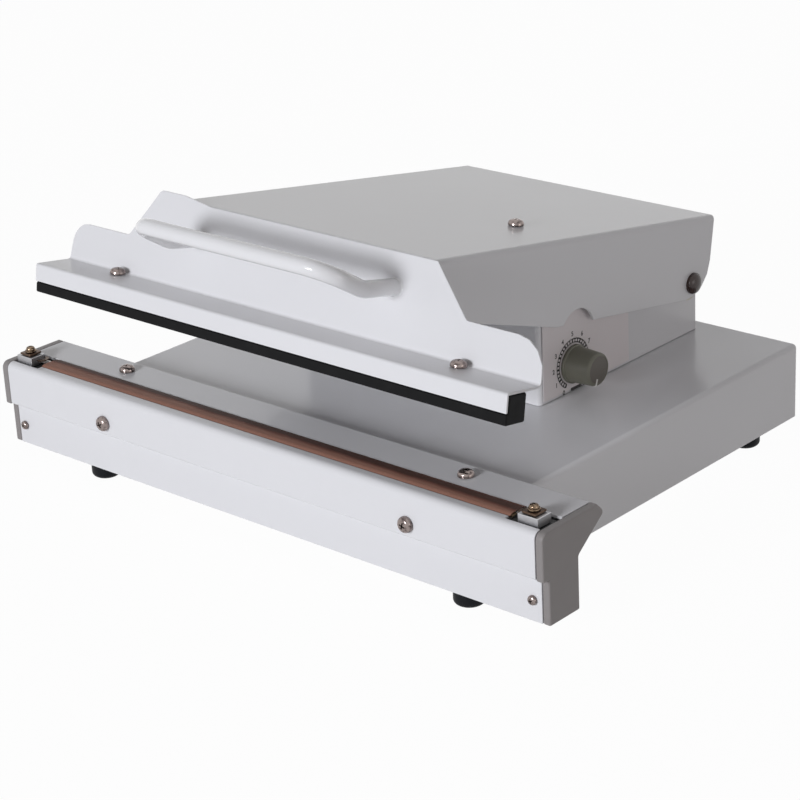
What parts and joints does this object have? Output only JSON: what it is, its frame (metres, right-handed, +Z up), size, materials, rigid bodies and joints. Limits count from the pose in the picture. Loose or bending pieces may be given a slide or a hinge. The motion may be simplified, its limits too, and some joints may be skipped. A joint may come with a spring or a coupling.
{
  "type": "heat sealer",
  "caption": "Table-top impulse heat sealer with a sprung lid, a long sealing bar, a bent tube handle and a timer knob on its side.",
  "frame": {"origin": "middle of the footprint, at the table that the feet stand on", "axes": "+X along the sealing bar towards the side with the timer knob, +Y from the sealing bar to the back, +Z up"},
  "size_m": [0.35, 0.2706, 0.1527],
  "materials": {
    "white_paint": "glossy white powder coat",
    "grey_plastic": "satin moulded grey plastic",
    "black_rubber": "black silicone and rubber",
    "bright_screw": "bright nickel plate",
    "glass_cloth": "brown coated glass cloth",
    "insulation": "tan insulating cloth",
    "element_alloy": "dull nickel-chrome ribbon",
    "aluminium": "mill finish",
    "black_plastic": "black moulded plastic",
    "brass": "dull brass",
    "zinc_steel": "zinc plated",
    "dial_foil": "printed grey-white foil",
    "knob_plastic": "dark olive grey plastic",
    "brown_plastic": "dark brown plastic",
    "circuit_board": "green board",
    "copper": "enamelled copper winding",
    "lamination": "varnished steel sheets",
    "nylon": "natural nylon"
  },
  "bodies": {
    "base": {"bar_frame": "white_paint", "base_cover": "white_paint", "bottom_plate": "zinc_steel", "core_bracket_left": "zinc_steel", "core_bracket_right": "zinc_steel", "deck_screw_left": "bright_screw", "deck_screw_right": "bright_screw", "dial_plate": "dial_foil", "end_cap_left": "grey_plastic", "end_cap_right": "grey_plastic", "foot_front_left": "black_rubber", "foot_front_right": "black_rubber", "foot_rear_left": "black_rubber", "foot_rear_right": "black_rubber", "front_panel_screw_left": "bright_screw", "front_panel_screw_right": "bright_screw", "glass_cloth_strip": "glass_cloth", "heating_element": "element_alloy", "hinge_bush_left": "nylon", "hinge_bush_right": "nylon", "housing_cover": "white_paint", "insulating_strip": "insulation", "lid_spring_left": "zinc_steel", "lid_spring_right": "zinc_steel", "lower_front_panel": "white_paint", "lower_panel_screw_left": "bright_screw", "lower_panel_screw_right": "bright_screw", "mains_inlet": "black_plastic", "microswitch_body": "black_plastic", "potentiometer": "zinc_steel", "sealing_bar_core": "aluminium", "terminal_block_left": "aluminium", "terminal_block_right": "aluminium", "terminal_insulator_left": "black_plastic", "terminal_insulator_right": "black_plastic", "terminal_screw_left": "brass", "terminal_screw_right": "brass", "terminal_washer_left": "brass", "terminal_washer_right": "brass", "timer_board": "circuit_board", "transformer_coil": "copper", "transformer_core": "lamination", "upper_front_panel": "white_paint"},
    "lid": {"lid_cover": "white_paint", "lid_screw": "bright_screw", "switch_striker": "zinc_steel", "jaw_plate": "white_paint", "pressing_rubber": "black_rubber", "rubber_carrier": "zinc_steel", "handle": "white_paint", "hinge_shaft": "zinc_steel", "ledge_screw_left": "bright_screw", "ledge_screw_right": "bright_screw", "handle_screw_left": "zinc_steel", "handle_screw_right": "zinc_steel", "pivot_cap_left": "brown_plastic", "pivot_cap_right": "brown_plastic"},
    "knob": {"time_knob": "knob_plastic", "timer_shaft": "brass"},
    "plunger": {"switch_plunger": "nylon"}
  },
  "joints": [
    {"name": "lid_hinge", "type": "hinge", "parent": "base", "child": "lid", "pos_m": [0, 0.11085, 0.0768], "axis": [1, 0, 0], "range_deg": [0, 9.65], "stiffness_Nm_per_rad": 30, "springref_deg": -4.58, "deforming": ["lid_spring_left", "lid_spring_right"]},
    {"name": "knob_turn", "type": "hinge", "parent": "base", "child": "knob", "pos_m": [0.09, 0.01735, 0.0625], "axis": [1, 0, 0], "range_deg": [-300, 0]},
    {"name": "switch_press", "type": "slide", "parent": "base", "child": "plunger", "axis": [0, 0, 1], "range_m": [-0.002, 0], "stiffness_N_per_m": 300, "springref_m": 0.002}
  ]
}
